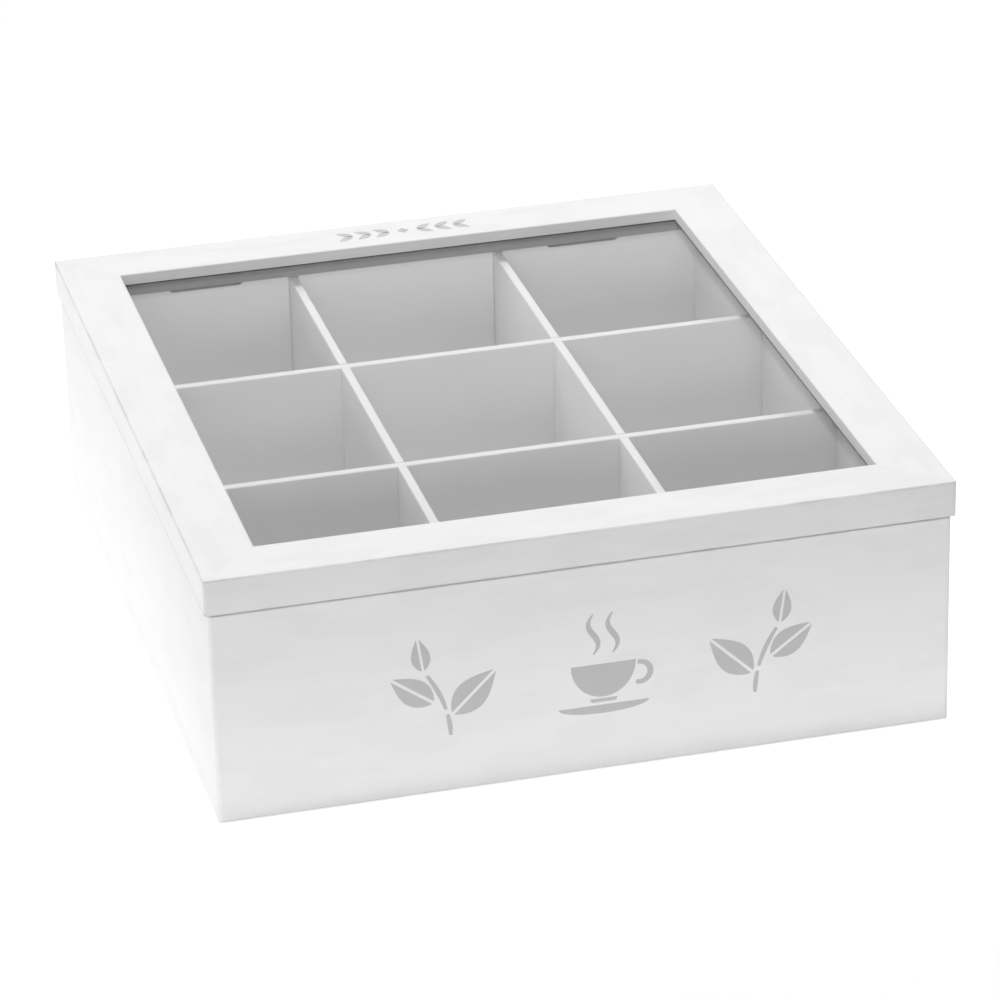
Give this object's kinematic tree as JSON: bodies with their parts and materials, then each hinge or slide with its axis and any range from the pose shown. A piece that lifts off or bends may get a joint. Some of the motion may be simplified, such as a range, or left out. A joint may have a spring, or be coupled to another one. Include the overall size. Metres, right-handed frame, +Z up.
{
  "type": "tea bag organizer box",
  "caption": "Low white-painted wooden box with a hinged glass-window lid over a grid of square compartments for tea bags in envelopes.",
  "frame": {"origin": "middle of the flat underside, below the middle of the lid", "axes": "+X to the right seen from the front, +Y to the back where the hinges are, +Z up"},
  "size_m": [0.24, 0.2681, 0.084],
  "materials": {
    "box_paint": "satin white paint on fibreboard, brushed",
    "lid_paint": "satin white paint on fibreboard, brushed",
    "divider_paint": "matt white paint on thin fibreboard",
    "base_board": "matt white paint on thin fibreboard, bare fibreboard below",
    "glass": "clear float glass",
    "sealant": "cured grey glazing sealant",
    "hinge_metal": "darkened steel",
    "stencil_ink": "matt grey stencil paint"
  },
  "bodies": {
    "box": {"front_panel": "box_paint", "back_panel": "box_paint", "left_panel": "box_paint", "right_panel": "box_paint", "bottom_panel": "base_board", "long_divider_left": "divider_paint", "long_divider_right": "divider_paint", "cross_divider_front": "divider_paint", "cross_divider_back": "divider_paint", "hinge_left_box_leaf": "hinge_metal", "hinge_left_pin": "hinge_metal", "hinge_right_box_leaf": "hinge_metal", "hinge_right_pin": "hinge_metal"},
    "lid": {"lid_rail_front": "lid_paint", "lid_rail_back": "lid_paint", "lid_rail_left": "lid_paint", "lid_rail_right": "lid_paint", "lid_glass": "glass", "glass_bedding": "sealant", "glass_bead_front": "sealant", "glass_bead_back": "sealant", "glass_bead_left": "sealant", "glass_bead_right": "sealant", "hinge_left_lid_leaf": "hinge_metal", "hinge_right_lid_leaf": "hinge_metal"}
  },
  "joints": [
    {"name": "lid_hinge", "type": "hinge", "parent": "box", "child": "lid", "pos_m": [0, 0.1342, 0.07085], "axis": [-1, 0, 0], "range_deg": [0, 180]}
  ]
}
